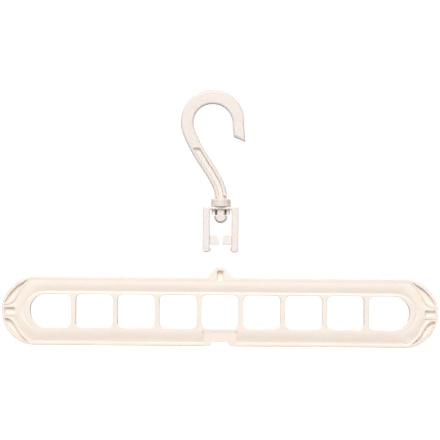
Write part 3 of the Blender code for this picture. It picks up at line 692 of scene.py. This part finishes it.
# A groove with sloping sides, in the front (side -1) or the back (side 1), whose top end runs
# out in a short shelf
def channelCutter(side, steps=24):
    topZ, face = hook["centre"] - hook["channelDrop"], hook["thickness"] / 2
    narrowing = ((hook["channelWidth"] - hook["channelFootWidth"])
                 / (hook["widthStem"] - hook["widthFoot"]))
    stem = [entry for entry in hookSpine()[tipSteps:]
            if entry[0].y < topZ + hook["past"] and entry[0].x < hook["collarRadius"]]
    levels = [(face + hook["past"], *channelFlare)]
    levels += [(face - hook["channelDepth"] * deep, flank, shelf) for deep, flank, shelf in channelLevels]
    sections = []
    for y, flank, shelf in levels:
        wide = hook["channelWidth"] - 2 * flank * hook["channelFlank"]
        sides = bandSides(stem, lambda width: wide - (hook["widthStem"] - width) * narrowing)
        top, foot = topZ - shelf * hook["channelShelf"], stem[-1][0].y - hook["past"]
        heights = [top + (foot - top) * i / steps for i in range(steps + 1)]
        left, right = [[(alongSide(points, z), side * y, z) for z in heights] for points in sides]
        sections.append(left + right[::-1])
    return skinned("channel", sections)


# Neck, collar with the groove a third of the way down it, pin, and the pin's head with a round end
def swivelProfile():
    top, foot = hook["collarTop"], hook["collarFoot"]
    radius, soft, neck = hook["collarRadius"], hook["collarRound"], hook["neckRadius"]
    groove, sink = top - (top - foot) / 3, hook["collarGroove"]
    shoulder = crossbarZ - hook["headNeck"]
    equator, head, edge = shoulder - hook["headRim"], hook["headRadius"], hook["headRound"]
    upper = arc((radius - soft, top - soft), soft, math.pi / 2, 0.0, steps=5)
    lower = arc((radius - soft, foot + soft), soft, 0.0, -math.pi / 2, steps=5)
    ball = arc((0.0, equator), head, 0.0, -math.pi / 2, steps=24)
    return [(0.0, top + hook["neckHeight"]), (neck, top + hook["neckHeight"]), (neck, top), *upper,
            (radius, groove + sink), (radius - sink, groove), (radius, groove - sink), *lower,
            (hook["pinRadius"], foot), (hook["pinRadius"], shoulder), (head - edge, shoulder),
            (head, shoulder - edge), *ball[:-1], (0.0, equator - head)]


# Flats at the sides of the pin's waist, flat faces before and behind, and the slot that splits it
def pinCutters():
    shoulder, waistTop = crossbarZ - hook["headNeck"], crossbarZ - hook["waistGap"]
    head, past = hook["headRadius"], hook["past"]
    waist, slot = hook["pinWaist"] / 2, hook["pinSlot"] / 2
    flats = [block("flat", (near, -head, shoulder), (far, head, waistTop))
             for near, far in ((waist, head), (-head, -waist))]
    side, face, foot = head + past, hook["pinDepth"] / 2, shoulder - 2 * head
    faces = [block("face", (-side, near, foot), (side, far, waistTop))
             for near, far in ((face, side), (-side, -face))]
    return flats + faces + [block("slot", (-side, -slot, foot), (side, slot, waistTop))]


def makeHook():
    face = hook["thickness"] / 2
    piece = flatSolid("swivelHook", hookOutline(), -face, face, hook["edgeRound"], facets=7)
    join(piece, [channelCutter(-1), channelCutter(1)], "DIFFERENCE")
    join(piece, [turned("swivel", swivelProfile())], "UNION")
    join(piece, pinCutters(), "DIFFERENCE")
    finishPiece(piece, mouldedPolypropylene("hookPolypropylene", *plastic["hook"]),
                "hook", "swivel_hook")


makeHook()
print("pieces made")


# Studio: white paper that sweeps up behind the hanger, a soft room and three lamps

studio = {
    "floorSize": 8.0, "wallAt": 3.2, "wallHeight": 5.0, "sweep": 0.8, "sweepFacets": 16,
    "nearby": 0.01,               # a point this close to the wall or floor lies on it
    "paper": "#929292",
    "glow": 0.93,                 # makes the paper white to the eye without more light on the object
    "worldStrength": 0.30,
    "aim": (0.0, 0.0, 0.08),
    "lamps": {                    # place, size, power
        "softBox": ((-0.25, -2.15, 1.72), (1.6, 1.1), 54.5),
        "fill": ((0.1, -2.4, 0.35), (1.4, 0.6), 12.5),
        "backLight": ((0.0, 1.9, 0.65), (2.4, 0.7), 15.0)},
}


# 1 where the camera, a reflection or a clear piece shows it, 0 where it only gives light
def seenDirectly(tree):
    ray = addNode(tree, "ShaderNodeLightPath").outputs
    seen = ray["Is Camera Ray"]
    for other in ("Is Glossy Ray", "Is Transmission Ray"):
        either = addNode(tree, "ShaderNodeMath", {"operation": "MAXIMUM"})
        tree.links.new(seen, either.inputs[0])
        tree.links.new(ray[other], either.inputs[1])
        seen = either.outputs[0]
    return seen


def whitePaper():
    paper = bpy.data.materials.new("whitePaper")
    paper.use_nodes = True
    tree = paper.node_tree
    tree.nodes.clear()
    glow = addNode(tree, "ShaderNodeMath", {"operation": "MULTIPLY"})
    tree.links.new(seenDirectly(tree), glow.inputs[0])
    glow.inputs[1].default_value = studio["glow"]
    matt = addNode(tree, "ShaderNodeBsdfDiffuse", {"Color": srgb(studio["paper"])})
    light = addNode(tree, "ShaderNodeEmission", {"Color": srgb("#FFFFFF")}, Strength=glow.outputs[0])
    both = addNode(tree, "ShaderNodeAddShader")
    tree.links.new(matt.outputs[0], both.inputs[0])
    tree.links.new(light.outputs[0], both.inputs[1])
    addNode(tree, "ShaderNodeOutputMaterial", Surface=both.outputs[0])
    return paper


def selectEdges(sheet, wanted):
    bpy.ops.mesh.select_all(action="DESELECT")
    shape = bmesh.from_edit_mesh(sheet.data)
    for edge in shape.edges:
        edge.select = all(wanted(vert.co) for vert in edge.verts)
    bmesh.update_edit_mesh(sheet.data)


# The floor's back edge is drawn up into a wall, and the bend between them is rounded
def makeFloor():
    bpy.ops.object.select_all(action="DESELECT")
    bpy.ops.mesh.primitive_plane_add(size=studio["floorSize"], location=(0.0, 0.0, 0.0))
    floor = bpy.context.active_object
    floor.name = "studioFloor"
    pick(floor)
    floor.location.y = studio["wallAt"] - studio["floorSize"] / 2
    bpy.ops.object.transform_apply(location=True, rotation=True, scale=True)
    bpy.ops.object.mode_set(mode="EDIT")
    back = studio["wallAt"] - studio["nearby"]
    selectEdges(floor, lambda place: place.y > back)
    bpy.ops.mesh.select_mode(type="EDGE")
    rise = (0.0, 0.0, studio["wallHeight"])
    bpy.ops.mesh.extrude_region_move(TRANSFORM_OT_translate={"value": rise})
    selectEdges(floor, lambda place: place.y > back and place.z < studio["nearby"])
    bpy.ops.mesh.bevel(offset=studio["sweep"], segments=studio["sweepFacets"])
    bpy.ops.object.mode_set(mode="OBJECT")
    bpy.ops.object.shade_smooth()
    floor.data.materials.append(whitePaper())


# A white room that is brighter to the eye than it is as a light
def makeRoom():
    world = bpy.data.worlds.new("softRoom")
    world.use_nodes = True
    bpy.context.scene.world = world
    tree = world.node_tree
    room = tree.nodes["Background"]
    room.inputs["Color"].default_value = srgb("#FFFFFF")
    strength = addNode(tree, "ShaderNodeMath", {"operation": "MULTIPLY_ADD"})
    tree.links.new(seenDirectly(tree), strength.inputs[0])
    strength.inputs[1].default_value = 1.0 - studio["worldStrength"]
    strength.inputs[2].default_value = studio["worldStrength"]
    tree.links.new(strength.outputs[0], room.inputs["Strength"])


def makeLamps():
    for name, (place, size, power) in studio["lamps"].items():
        light = bpy.data.lights.new(name, "AREA")
        light.shape = "RECTANGLE"
        light.size, light.size_y = size
        light.energy = power
        lamp = bpy.data.objects.new(name, light)
        bpy.context.scene.collection.objects.link(lamp)
        lamp.location = place
        aim = Vector(studio["aim"]) - lamp.location
        lamp.rotation_euler = aim.to_track_quat("-Z", "Y").to_euler()


makeFloor()
makeRoom()
makeLamps()
print("studio made")


# Camera: straight in front, a long lens, turned by the half degree that the photograph is

view = {"place": (-0.6 * mm, -1.6, 108.4 * mm), "widthSeen": 378.7 * mm, "roll": 0.48,
        "sensorWidth": 36.0}


def makeCamera():
    data = bpy.data.cameras.new("frontView")
    camera = bpy.data.objects.new("frontView", data)
    bpy.context.scene.collection.objects.link(camera)
    data.sensor_width = view["sensorWidth"]
    data.lens = data.sensor_width * abs(view["place"][1]) / view["widthSeen"]
    camera.location = view["place"]
    camera.rotation_euler = (math.radians(90), -math.radians(view["roll"]), 0.0)
    bpy.context.scene.camera = camera


makeCamera()
bpy.context.scene.view_settings.view_transform = "Standard"
print("camera placed")
